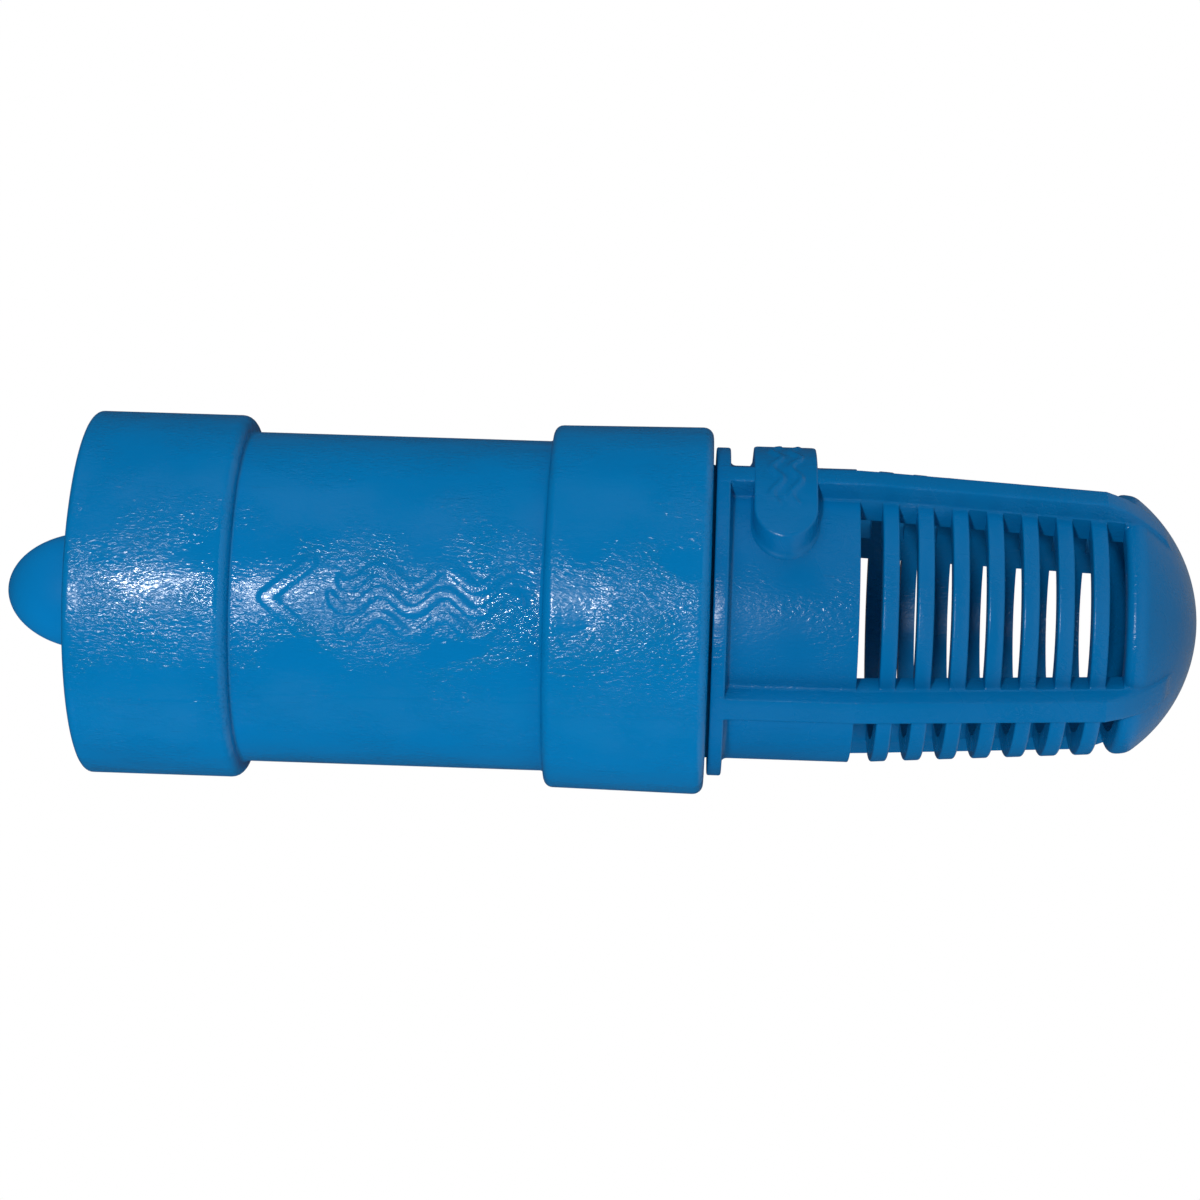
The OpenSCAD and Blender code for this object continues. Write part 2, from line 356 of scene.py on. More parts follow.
def flow_mark(z, across):
    """Raised flow mark on the barrel: an arrow head that points to the outlet, then waves."""
    tip, back, half, arrow_stroke = SHOULDER_Z - 5.2, SHOULDER_Z - 11.2, 5.0, 1.9
    height = 0
    for side in (half, -half):
        arm = stroke(to_segment(z, across, (tip, 0), (back, side)), arrow_stroke)
        height = np.maximum(height, arm)
    wave_start, wave_end, wavelength, swing = SHOULDER_Z - 14.5, BARREL_END + 3.4, 9.0, 1.3
    wave_gap, wave_stroke = 3.4, 1.5
    shorter = 1.4                        # by which the outer waves end before the middle one
    middle = (wave_start + wave_end) / 2
    reach = (wave_start - wave_end) / 2
    phase = TAU * (z - wave_start) / wavelength
    for offset in (-wave_gap, 0.0, wave_gap):
        y = offset + swing * np.sin(phase)
        slope = swing * TAU / wavelength * np.cos(phase)
        aside = np.abs(across - y) / np.sqrt(1 + slope ** 2)
        past = np.maximum(np.abs(z - middle) - reach + shorter * np.abs(offset) / wave_gap, 0)
        height = np.maximum(height, stroke(np.hypot(aside, past), wave_stroke))
    return height


def valve_body():
    """The housing, with both threads, the flow mark and the mould lines."""
    mouth_r = OUTLET_THREAD["r"]
    chamfer = 1.2                        # at both ends of the bore
    cavity_r, pocket_r, stop_r = 20.4, 19.9, 18.6
    outline = held(rounded([
        (OUTLET_R, MOUTH, 0.9),
        (OUTLET_R, SHOULDER_Z, 1.8),
        (BARREL_R, SHOULDER_Z, 0.4),
        (BARREL_R, BARREL_END, 0.6),
        (INLET_R, BARREL_END, 1.3),
        (INLET_END_R, BODY_END, 1.5),
        (REGISTER_R + chamfer, BODY_END, 0.2),
        (REGISTER_R, BODY_END + chamfer, 0),
        (REGISTER_R, SPIGOT_TOP, 0),
        (REGISTER_R, SEAT_SHOULDER, 0.1),
        (cavity_r, SEAT_SHOULDER, 0.15),
        (cavity_r, BARREL_END + 6, 0),
        (pocket_r, BARREL_END + 7, 0),
        (pocket_r, GUIDE_TOP, 0.1),
        (stop_r, GUIDE_TOP, 0.15),
        (stop_r, PIPE_STOP, 0.3),
        (mouth_r, PIPE_STOP, 0.1),
        (mouth_r, MOUTH - chamfer, 0),
        (mouth_r + chamfer, MOUTH, 0.2)]))
    # closer points on the threads and under the flow mark
    thread_step, mark_step, near_thread = 0.24, 0.3, 1.3
    points = []
    for (r, z), (r_next, z_next) in zip(outline, outline[1:] + outline[:1]):
        points.append((r, z))
        length = math.hypot(r_next - r, z_next - z)
        in_outlet = abs(r - mouth_r) < near_thread and z > PIPE_STOP
        in_inlet = abs(r - REGISTER_R) < near_thread and z < SPIGOT_TOP
        marked = abs(r - BARREL_R) < 0.01 and BARREL_END < z < SHOULDER_Z
        step = thread_step if in_outlet or in_inlet else mark_step if marked else length
        parts = math.ceil(length / step - 1e-6)
        for k in range(1, parts):
            points.append((r + (r_next - r) * k / parts, z + (z_next - z) * k / parts))
    mark_height, line_height, line_half_w = 0.2, 0.06, 0.25
    slack = 0.02                         # for telling the outer surfaces by their radius
    outer = BARREL_R - slack

    def shape(r, z, angle):
        """Cuts both threads, and raises the flow mark and the two mould lines."""
        inside = r < REGISTER_R + 1.4
        wave = thread_wave(z, angle, OUTLET_THREAD["pitch"])
        cone = mouth_r + chamfer - (MOUTH - z)
        bottom = smoothstep((z - PIPE_STOP - 0.4) / 1.5)
        cut = mouth_r + OUTLET_THREAD["half_depth"] * wave * bottom
        at_mouth = inside & (z > PIPE_STOP + 0.3) & (z < MOUTH - 0.05)
        moved = np.where(at_mouth, np.maximum(cut, cone), r)
        wave = thread_wave(z, angle, INLET_THREAD["pitch"])
        cone = REGISTER_R + chamfer - (z - BODY_END)
        top = smoothstep((SPIGOT_TOP + 0.1 - z) / 0.6)
        cut = REGISTER_R + INLET_THREAD["half_depth"] * (wave + 1) * top
        at_inlet = inside & (z < SPIGOT_TOP + 0.05) & (z > BODY_END + 0.05)
        moved = np.where(at_inlet, np.maximum(cut, cone), moved)
        turn = (angle - math.radians(FRONT) + math.pi) % TAU - math.pi
        on_barrel = (r > outer) & (np.abs(r - BARREL_R) < slack) & (z < SHOULDER_Z) & (z > BARREL_END)
        raised = mark_height * flow_mark(z, BARREL_R * turn)
        moved = np.where(on_barrel, r + raised, moved)
        for line in (90, -90):
            off = (angle - math.radians(line) + math.pi) % TAU - math.pi
            ridge = line_height * smoothstep(1 - np.abs(off) * BARREL_R / line_half_w)
            fade = smoothstep((MOUTH - 1.0 - z) / 1.5) * smoothstep((z - BODY_END - 1.6) / 1.5)
            moved = np.where(r > outer, moved + ridge * fade, moved)
        return moved

    fine = ((FRONT, 24, 0.6), (90, 1.2, 0.3), (-90, 1.2, 0.3))
    return lathe("valve_housing", points, even_angles(2.5, fine), shape, sharp=32)


# ---------------------------------------------------------------- strainer
def wall_r(z):
    """Radius of the outer wall, which tapers from the first slot down."""
    return WALL_R - TAPER * max(0.0, SLOTS_TOP - z)


DOME_WALL_R = wall_r(SLOTS_END - 2)      # the wall's radius where it turns into the dome


def rib_crest_r(z):
    """Radius of a rib's crest: straight down the taper, then on a sphere about the dome's centre."""
    if z > CREST_END:
        return wall_r(z) + RIB_HEIGHT
    return math.sqrt(CREST_SPHERE_R ** 2 - (DOME_Z - z) ** 2)


def on_dome(r, a):
    """Radius and height of a point on a sphere about the dome's centre, at an angle below it."""
    return r * math.cos(a), DOME_Z - r * math.sin(a)


def quarter_round(size, degrees):
    """Points of a quarter round, from (size, 0) at 0 degrees to (0, size) at 90."""
    return [(size * (1 - math.sin(a)), size * (1 - math.cos(a))) for a in np.radians(degrees)]


def slot_edges():
    """Top and bottom of each slot, from the flange down."""
    edges = []
    for i in range(SLOT_ROWS):
        top = SLOTS_TOP - i * SLOT_PITCH
        edges.append((top + (FIRST_SLOT_EXTRA if i == 0 else 0), top - SLOT_H))
    return edges


def strainer_columns():
    """The grid's columns: the quarter each starts from, its signed distance from the rib's
    middle plane, its share of the rib's height, and its place in the wall between ribs. Then
    the first and the last column of a quarter's slots."""
    half, edge, foot = 1.85, 0.3, 0.5
    lean = 0.15                          # by which the rib is wider at its foot
    rib = [(0.0, 1.0), (0.65, 1.0)]
    for a in (0, 30, 60, 84):
        rib.append((half - edge + edge * math.sin(math.radians(a)),
                    1 - edge * (1 - math.cos(math.radians(a))) / RIB_HEIGHT))
    centre = half + lean + foot
    for a in (0, 22, 46, 68, 90):
        rib.append((centre - foot * math.cos(math.radians(a)),
                    foot * (1 - math.sin(math.radians(a))) / RIB_HEIGHT))
    spans = 30
    columns = []
    for quarter in range(4):
        columns += [(quarter, t, m, -1.0) for t, m in rib]
        columns += [(quarter, 0.0, 0.0, k / spans) for k in range(1, spans)]
        columns += [(quarter + 1, -t, m, -1.0) for t, m in reversed(rib[1:])]
    first = len(rib) - 3                 # the slots start in the rib's foot
    return np.array(columns), first, len(columns) // 4 - first


class Row(NamedTuple):
    """One ring of the strainer's grid."""
    r: float                             # of the wall
    z: float
    crest_r: float                       # of the ribs' crests
    crest_z: float
    drop: float = 0.0                    # by which the edge of a slot is rounded inwards
    threaded: bool = False
    slot: int | None = None              # the slot between this ring and the next


def plain_row(r, z, **more):
    """A ring without ribs."""
    return Row(r, z, r, z, **more)


def wall_row(z, **more):
    """A ring of the ribbed wall."""
    return Row(wall_r(z), z, rib_crest_r(z), z, **more)


def spigot_rows():
    """The spigot's end and its thread."""
    rows = [plain_row(r, SPIGOT_TOP) for r in (BORE_R + 0.6, BORE_R + 0.8, LEAD_R - 0.2, LEAD_R)]
    length = SPIGOT_TOP - THREAD_END
    steps = round(length / 0.25)
    for k in range(1, steps + 1):
        rows.append(plain_row(SPIGOT_R, SPIGOT_TOP - length * k / steps, threaded=True))
    return rows


def flange_rows():
    """The flange, whose underside curves into the wall while the ribs' crests run straight on."""
    groove_r, top_edge, low_edge, crest_start = SPIGOT_R - 0.1, 0.25, 0.3, 0.5
    rows = [plain_row(groove_r, FLANGE_TOP + 0.1)]
    for r in (groove_r + 0.15, groove_r + 0.4, FLANGE_R - 0.45, FLANGE_R - top_edge):
        rows.append(plain_row(r, FLANGE_TOP))
    for a, b in quarter_round(top_edge, (30, 60, 90)):
        rows.append(plain_row(FLANGE_R - a, FLANGE_TOP - b))
    under = [(FLANGE_R, FLANGE_END + crest_start), (FLANGE_R, FLANGE_END + low_edge)]
    under += [(FLANGE_R - b, FLANGE_END + a) for a, b in quarter_round(low_edge, (30, 60, 90))]
    under += [(WALL_R + FLANGE_ROOT + 0.15, FLANGE_END), (WALL_R + FLANGE_ROOT, FLANGE_END)]
    under += [(WALL_R + a, FLANGE_END - b)
              for a, b in quarter_round(FLANGE_ROOT, (18, 36, 54, 72, 90))]
    for k, (r, z) in enumerate(under):
        crest_z = FLANGE_END + crest_start - (crest_start + FLANGE_ROOT) * k / (len(under) - 1)
        rows.append(Row(r, z, RIB_R, crest_z))
    return rows


def slotted_rows():
    """The plain barrel, and then the slots with the rings between them."""
    first_edge, ring_edge, rim_edge = 0.12, 0.33, 1.2
    edges = slot_edges()
    start, end, steps = FLANGE_END - FLANGE_ROOT, edges[0][0] + 2 * first_edge, 11
    rows = [wall_row(start - (start - end) * k / steps) for k in range(1, steps + 1)]
    turns = (0, 18, 36, 54, 72, 90)
    for i, (top, bottom) in enumerate(edges):
        above = ring_edge if i else first_edge
        rows += [wall_row(top + a, drop=b) for a, b in quarter_round(above, turns)]
        rows[-1] = rows[-1]._replace(slot=i)
        below = ring_edge if i < SLOT_ROWS - 1 else rim_edge
        rows += [wall_row(bottom - a, drop=b) for a, b in quarter_round(below, turns[::-1])]
    return rows


def dome_rows(last):
    """The outside of the dome, on from the last ring above it. The ribs' crests stay on their
    sphere and then sink into the dome."""
    shoulder_angle = math.acos((DOME_WALL_R - DOME_SHOULDER) / (DOME_R - DOME_SHOULDER))
    shoulder_z = DOME_Z - (DOME_R - DOME_SHOULDER) * math.sin(shoulder_angle)
    crest_start = math.atan2(DOME_Z - last.z, last.crest_r)
    down = [(wall_r(z), z) for z in np.linspace(last.z, shoulder_z, 4)[1:]]
    down += [(DOME_WALL_R - DOME_SHOULDER * (1 - math.cos(a)), shoulder_z - DOME_SHOULDER * math.sin(a))
             for a in np.linspace(0, shoulder_angle, 9)[1:]]
    rows = []
    for k, (r, z) in enumerate(down):
        a = crest_start + (shoulder_angle - crest_start) * (k + 1) / len(down)
        rows.append(Row(r, z, *on_dome(CREST_SPHERE_R, a)))
    fade_start, fade_end = np.radians(RUNOUT)
    to_runout = np.linspace(shoulder_angle, fade_end, 13)[1:]
    to_pole = np.linspace(fade_end, POLE_ANGLE, 20)[1:]
    for a in np.concatenate([to_runout, to_pole]):
        sunk = float(smoothstep((a - fade_start) / (fade_end - fade_start)))
        crest_r = CREST_SPHERE_R + (DOME_R - CREST_SPHERE_R) * sunk
        rows.append(Row(*on_dome(DOME_R, a), *on_dome(crest_r, a)))
    return rows


def inside_rows():
    """The inside, from the pole up to the spigot's end."""
    inner_angle = math.acos((DOME_WALL_R - WALL) / DOME_INNER_R)
    rows = [plain_row(*on_dome(DOME_INNER_R, a)) for a in np.linspace(POLE_ANGLE, inner_angle, 16)]
    edges = slot_edges()
    for i in reversed(range(SLOT_ROWS)):
        top, bottom = edges[i]
        rows.append(plain_row(wall_r(bottom) - WALL, bottom, slot=i))
        rows.append(plain_row(wall_r(top) - WALL, top))
    for z in np.linspace(edges[0][0], SPIGOT_TOP - 0.8, 12)[1:]:
        rows.append(plain_row(wall_r(z) - WALL, z))
    rows.append(plain_row(BORE_R, SPIGOT_TOP - 0.6))
    rows.append(plain_row(BORE_R + 0.5, SPIGOT_TOP - 0.1))
    return rows


def slot_faces(outside, inner_row, count, first, last):
    """The four walls of every slot. inner_row gives the inside ring at each slot's bottom
    edge; the next ring is at its top."""
    faces = []
    for i, ring in enumerate(outside):
        if ring.slot is None:
            continue
        top, bottom = i * count, (i + 1) * count
        in_bottom, in_top = inner_row[ring.slot] * count, (inner_row[ring.slot] + 1) * count
        for q in range(4):
            start = q * count // 4
            for c in range(first, last):
                a, b = start + c, (start + c + 1) % count
                faces.append((top + a, top + b, in_top + b, in_top + a))
                faces.append((bottom + a, bottom + b, in_bottom + b, in_bottom + a))
            for c in (first, last):
                a = (start + c) % count
                faces.append((top + a, bottom + a, in_bottom + a, in_top + a))
    return faces


def strainer_basket():
    """The strainer without its pad, as one grid of rings."""
    columns, first, last = strainer_columns()
    count = len(columns)
    quarter, aside, share, place = columns.T
    in_quarter = np.arange(count) % (count // 4)
    dropped = (in_quarter > first) & (in_quarter < last - 1)    # rounded in at a slot's edge
    foot_reach = aside.max()
    hold_r = 13.6                        # inside this radius the columns run to the pole
    thread_runout = 1.2

    def angles(r):
        near = np.maximum(r, hold_r)
        start = np.arcsin(foot_reach / near)
        on_rib = np.sign(aside) * np.arcsin(np.abs(aside) / near)
        between = start + place * (math.pi / 2 - 2 * start)
        return quarter * math.pi / 2 + np.where(place < 0, on_rib, between)

    outside = spigot_rows() + flange_rows() + slotted_rows()
    outside += dome_rows(outside[-1])
    rows = outside + inside_rows()
    points = []
    for i, ring in enumerate(rows):
        r = ring.r + (ring.crest_r - ring.r) * share - np.where(dropped, ring.drop, 0.0)
        z = ring.z + (ring.crest_z - ring.z) * share
        turn = angles(r + (WALL if i >= len(outside) else 0))   # the slots' ends run radially
        if ring.threaded:
            wave = thread_wave(z, turn, INLET_THREAD["pitch"])
            runout = float(smoothstep((ring.z - THREAD_END) / thread_runout))
            r = SPIGOT_R + INLET_THREAD["half_depth"] * (wave + 1) * runout
            r = np.minimum(r, LEAD_R + SPIGOT_TOP - ring.z)
        points.append(around(r, z, turn))
    points.append([(0, 0, TIP), (0, 0, DOME_Z - DOME_INNER_R)])

    def left_out(i, j):
        """True between the two poles' rings, and for the cells that a slot leaves open."""
        in_slot = rows[i].slot is not None and first <= in_quarter[j] < last
        return in_slot or i == len(outside) - 1

    inner_row = {rows[i].slot: i for i in range(len(outside), len(rows)) if rows[i].slot is not None}
    faces = grid_faces(len(rows), count, wrap_rows=True, skip=left_out)
    faces += slot_faces(outside, inner_row, count, first, last)
    faces += pole_faces(len(rows), count, (len(outside) - 1, len(outside)))
    return new_piece("strainer_basket", np.vstack(points), faces, sharp=38)


def pad():
    """A raised stadium-shaped pad over the rib on +X. Its face follows a cylinder, and its
    root lies inside the strainer's wall."""
    middle, face_r, root_r = -100.4, RIB_R + 0.15, WALL_R - 1.3
    half_w, edge, relief = 4.5, 0.3, 0.35
    spine_low, spine_high = -7.15, 11.0
    draft, flare, flare_h = 0.06, 0.3, 0.7
    narrow = 0.06                        # share of the width at which a face closes

    # the outline goes round an end, along a side, round the other end and back
    end_points, side_points = 33, 30
    ends = np.radians(np.linspace(-90, 90, end_points))
    side = np.linspace(spine_high, spine_low, side_points + 2)[1:-1]
    flat = np.full(side_points, math.pi / 2)
    along = np.concatenate([np.full(end_points, spine_high), side,
                            np.full(end_points, spine_low), side[::-1]])
    aim = np.concatenate([ends, flat, ends + math.pi, -flat])
    count = len(along)

    def at(width):
        """Points at a distance from the spine."""
        return along + width * np.cos(aim), width * np.sin(aim)

    def cylinder_x(y, r):
        return np.sqrt(np.maximum(r ** 2 - y ** 2, 0))

    def waves(y, h):
        """Two raised waves, as a plain motif."""
        swing, wavelength, reach, wave_stroke, soft = 0.75, 6.4, 8.4, 0.85, 0.5
        height = 0
        for offset in (-1.35, 1.35):
            slope = swing * TAU / wavelength * np.cos(TAU * y / wavelength)
            aside = np.abs(h - offset - swing * np.sin(TAU * y / wavelength)) / np.sqrt(1 + slope ** 2)
            past = np.maximum(np.abs(y - (spine_low + spine_high) / 2) - reach, 0)
            height = np.maximum(height, stroke(np.hypot(aside, past), wave_stroke, soft))
        return height

    rows = []
    for width in np.linspace(narrow, 0.97, 14) * (half_w - edge):
        y, h = at(width)
        rows.append((cylinder_x(y, face_r) + relief * waves(y, h), y, h))
    for a in np.radians((0, 22, 45, 68, 90)):
        y, h = at(half_w - edge + edge * math.sin(a))
        rows.append((cylinder_x(y, face_r) - edge * (1 - math.cos(a)), y, h))
    y = at(half_w)[0]
    top, foot = cylinder_x(y, face_r) - edge, cylinder_x(y, WALL_R - 0.35)
    for share in np.linspace(0, 1, 12)[1:]:
        x = top + (foot - top) * share
        near_wall = np.clip(1 - (x - cylinder_x(y, WALL_R)) / flare_h, 0, 1)
        rows.append((x, *at(half_w + draft * (top - x) + flare * near_wall ** 2)))
    for width in np.linspace(1, narrow, 10) * half_w:
        y, h = at(width)
        rows.append((cylinder_x(y, root_r), y, h))
    points = np.stack([np.stack(row, axis=-1) for row in rows]).reshape(-1, 3)
    points[:, 2] += middle
    faces = grid_faces(len(rows), count)
    # both faces are closed across, from the middle of one end to the middle of the other
    near_tip = end_points // 2
    far_tip = near_tip + end_points + side_points
    across = [(j, (end_points - 1 - j) % count) for j in range(near_tip, far_tip + 1)]
    for first in (0, (len(rows) - 1) * count):
        for (a, b), (c, d) in zip(across, across[1:]):
            faces.append(tuple(dict.fromkeys(first + v for v in (a, c, d, b))))
    return new_piece("pad", points, faces, sharp=38)


def strainer():
    return combine(strainer_basket(), [pad()], "UNION", sharp=38)


# ---------------------------------------------------------------- pieces inside
def stem_guide():
    """A spider: a hub with a sleeve for the stem, four arms and an outer ring."""
    ring_r, ring_w, ring_h = 19.85, 2.25, 8
    arm_w, arm_end, arm_top = 3.0, GUIDE_TOP - 7.6, GUIDE_TOP - 0.4
    hub_r, sleeve_r = 12.4, 9.9
    hub_end = GUIDE_TOP - 10
    bore = STEM_R + 0.08
    hub = lathe("stem_guide_spider", held(rounded([
        (hub_r, GUIDE_TOP, 0.4), (hub_r, hub_end, 0.4), (sleeve_r, hub_end, 0.3),
        (sleeve_r, GUIDE_END, 0.4), (bore, GUIDE_END, 0.25), (bore, GUIDE_TOP, 0.3)])))
    ring = lathe("guide_ring", held(rounded([
        (ring_r, GUIDE_TOP, 0.3), (ring_r, GUIDE_TOP - ring_h, 0.4),
        (ring_r - ring_w, GUIDE_TOP - ring_h, 0.3), (ring_r - ring_w, GUIDE_TOP, 0.3)])))
    arms = []
    for a in (45, 135, 225, 315):
        arm = block("guide_arm", (hub_r - 1, -arm_w / 2, arm_end),
                    (ring_r - ring_w + 0.8, arm_w / 2, arm_top), 0.35)
        arms.append(turned_by(arm, a))
    return combine(hub, arms + [ring], "UNION")


def poppet_stem():
    """A tube that is closed by a bullet nose."""
    nose_length, wall, tip_angle = 12.6, 2.0, 89
    base = NOSE_TIP - nose_length

    def nose(inset, degrees):
        return [((STEM_R - inset) * math.cos(a), base + (nose_length - inset) * math.sin(a))
                for a in np.radians(degrees)]

    outside = held([(STEM_R, STEM_FOOT), (STEM_R, base)], longest=4, closed=False)[:-1]
    outside += nose(0, np.linspace(0, tip_angle, 40))
    inside = nose(wall, np.linspace(tip_angle, 0, 24))[:-1]
    inside += held([(STEM_R - wall, base), (STEM_R - wall, STEM_FOOT)], longest=4, closed=False)
    rows = np.array(outside + inside)
    points = around(rows[:, :1], rows[:, 1:], full_turn(COLUMNS))
    poles = [(0, 0, NOSE_TIP), (0, 0, NOSE_TIP - wall)]
    faces = grid_faces(len(rows), COLUMNS, wrap_rows=True, skip=lambda i, j: i == len(outside) - 1)
    faces += pole_faces(len(rows), COLUMNS, (len(outside) - 1, len(outside)))
    return new_piece("poppet_nose_stem", np.vstack([points, poles]), faces)


def poppet_head():
    plug_r, boss_r = STEM_R - 2.0, 5.0
    bore = 2.5
    top = SEAL_TOP + 3.5
    return lathe("poppet_head_disc", held(rounded([
        (bore, HEAD_LOW, 0), (boss_r, HEAD_LOW, 0.2), (boss_r, SEAL_TOP, 0.1),
        (HEAD_R, SEAL_TOP, 0.15), (HEAD_R, top, 0.8), (plug_r, top, 0.3),
        (plug_r, HEAD_PLUG_TOP, 0.9), (bore, HEAD_PLUG_TOP, 0)])))


def poppet_seal():
    return lathe("poppet_seal_disc", held(rounded([
        (5.0, SEAL_LOW, 0.1), (HEAD_R, SEAL_LOW, 0.25), (HEAD_R, SEAL_TOP, 0.25), (5.0, SEAL_TOP, 0.1)])))


def seal_retainer():
    outer = radius("seal_retainer")
    return lathe("seal_retainer_plate", held(rounded([
        (2.65, RETAINER_LOW, 0.15), (outer, RETAINER_LOW, 0.7), (outer, RETAINER_TOP, 0.1),
        (2.65, RETAINER_TOP, 0)])))


def retainer_washer():
    outer = radius("retainer_washer")
    return lathe("washer", held(rounded([
        (2.65, WASHER_LOW, 0.08), (outer, WASHER_LOW, 0.15), (outer, WASHER_TOP, 0.08),
        (2.65, WASHER_TOP, 0.08)], step=30)), full_turn(96))


def retainer_screw():
    head_r, shank_r, head_h, edge = 4.6, 2.45, 2.7, 1.4
    head_top = SCREW_LOW + head_h
    outline = [(0, SCREW_LOW), (head_r - edge - 0.4, SCREW_LOW)]
    outline += [(head_r - edge * (1 - math.sin(a)), SCREW_LOW + edge * (1 - math.cos(a)))
                for a in np.radians(np.linspace(0, 90, 8))]
    outline += [(head_r, head_top - 0.1), (head_r - 0.1, head_top), (shank_r, head_top)]
    outline += [(shank_r, SCREW_TOP - 1), (shank_r - 1, SCREW_TOP), (0, SCREW_TOP)]
    screw = solid_lathe("pan_head_screw", outline, 96)
    recess_l, recess_w, recess_h = 5.0, 1.1, 1.5
    low = (-recess_l / 2, -recess_w / 2, SCREW_LOW - 1)
    high = (recess_l / 2, recess_w / 2, SCREW_LOW + recess_h)
    cuts = [turned_by(block("recess", low, high, 0.12), a) for a in (0, 90)]
    return combine(screw, cuts, "DIFFERENCE")


def valve_seat():
    groove_r = REGISTER_R - 1.54
    groove_mid = (RING_LOW + RING_TOP) / 2
    top = SEAT_LOW + 4
    bore = 14.0
    return lathe("seat_ring", held(rounded([
        (bore, SEAT_LOW, 1.5), (SEAT_R, SEAT_LOW, 0.15), (SEAT_R, groove_mid - 1, 0.08),
        (groove_r, groove_mid - 1, 0.08), (groove_r, groove_mid + 1, 0.08),
        (SEAT_R, groove_mid + 1, 0.08), (SEAT_R, top, 0.2), (bore + 2.8, top, 0.25),
        (bore + 1.2, LIP_TOP, 0.5), (bore, LIP_TOP, 0.5)])))


def seat_o_ring():
    wire = (RING_TOP - RING_LOW) / 2
    middle_r, middle_z = radius("seat_o_ring") - wire, (RING_TOP + RING_LOW) / 2
    outline = [(middle_r + wire * math.cos(a), middle_z + wire * math.sin(a))
               for a in full_turn(20)]
    return lathe("seat_seal_ring", outline, sharp=180)


def poppet_spring():
    """Coil with close turns at both ends, swept as a round wire."""
    wire, middle_r, turns, dead = 1.3, 11.0, 8, 0.9
    low, high = SPRING_LOW + wire / 2, SPRING_TOP - wire / 2
    closed = dead * wire * 1.05
    sides, steps = 14, 44
    t = np.linspace(0, turns, turns * steps + 1)
    rise = closed + (high - low - 2 * closed) * (t - dead) / (turns - 2 * dead)
    rise = np.where(t < dead, closed * t / dead, rise)
    rise = np.where(t > turns - dead, high - low - closed * (turns - t) / dead, rise)
    turn = TAU * t[:, None]
    side = full_turn(sides)
    points = around(middle_r + wire / 2 * np.cos(side),
                    low + rise[:, None] + wire / 2 * np.sin(side), turn)
    faces = grid_faces(len(t), sides)
    faces.append(tuple(range(sides)))
    faces.append(tuple((len(t) - 1) * sides + j for j in range(sides)))
    return new_piece("poppet_coil_spring", points, faces, sharp=60)


# ---------------------------------------------------------------- materials
MOST_NOISE = (0.3, 0.7)                  # nearly all of a noise's values lie between these


class Nodes:
    """A material's node tree, with short calls for the nodes used here."""

    def __init__(self, name):
        self.material = bpy.data.materials.new(name)
        self.material.use_nodes = True
        self.tree = self.material.node_tree
        self.shader = self.tree.nodes["Principled BSDF"]
        self.place = self.add("ShaderNodeTexCoord").outputs["Object"]

    def add(self, kind, **settings):
        node = self.tree.nodes.new(kind)
        for key, value in settings.items():
            setattr(node, key, value)
        return node

    def link(self, source, target):
        self.tree.links.new(source, target)

    def stretched(self, x, y, z):
        """Object coordinates scaled so that one unit is x, y and z millimetres."""
        node = self.add("ShaderNodeMapping")
        node.inputs["Scale"].default_value = (1 / (x * MM), 1 / (y * MM), 1 / (z * MM))
        self.link(self.place, node.inputs["Vector"])
        return node.outputs["Vector"]

    def noise(self, vector, detail=2.0, rough=0.5, distortion=0.0, scale=1.0):
        node = self.add("ShaderNodeTexNoise")
        node.inputs["Scale"].default_value = scale
        node.inputs["Detail"].default_value = detail
        node.inputs["Roughness"].default_value = rough
        node.inputs["Distortion"].default_value = distortion
        self.link(vector, node.inputs["Vector"])
        return node.outputs["Fac"]

    def remap(self, value, a, b, c=0.0, d=1.0, smooth=True):
        node = self.add("ShaderNodeMapRange", interpolation_type="SMOOTHSTEP" if smooth else "LINEAR")
        for key, number in (("From Min", a), ("From Max", b), ("To Min", c), ("To Max", d)):
            node.inputs[key].default_value = number
        self.link(value, node.inputs["Value"])
        return node.outputs["Result"]

    def math(self, operation, a, b):
        node = self.add("ShaderNodeMath", operation=operation)
        for socket, value in zip(node.inputs, (a, b)):
            if isinstance(value, (int, float)):
                socket.default_value = value
            else:
                self.link(value, socket)
        return node.outputs["Value"]

    def mix(self, factor, a, b):
        """Colour a where the factor is 0 and b where it is 1."""
        node = self.add("ShaderNodeMix", data_type="RGBA")
        self.link(factor, node.inputs["Factor"])
        for socket, value in zip((node.inputs[6], node.inputs[7]), (a, b)):
            if isinstance(value, tuple):
                socket.default_value = (*value, 1.0)
            else:
                self.link(value, socket)
        return node.outputs[2]

    def bump(self, height, distance, normal=None):
        """Bump whose full height is the distance in millimetres."""
        node = self.add("ShaderNodeBump")
        node.inputs["Strength"].default_value = 1.0
        node.inputs["Distance"].default_value = distance * MM
        self.link(height, node.inputs["Height"])
        if normal is not None:
            self.link(normal, node.inputs["Normal"])
        return node.outputs["Normal"]


    def colour(self, drift, a, b):
        """Base colour that drifts from a to b with a noise."""
        self.link(self.mix(self.remap(drift, *MOST_NOISE), a, b), self.shader.inputs["Base Color"])

    def roughness(self, drift, low, high):
        """Roughness that follows a noise."""
        self.link(self.remap(drift, *MOST_NOISE, low, high), self.shader.inputs["Roughness"])

    def normal(self, relief):
        self.link(relief, self.shader.inputs["Normal"])


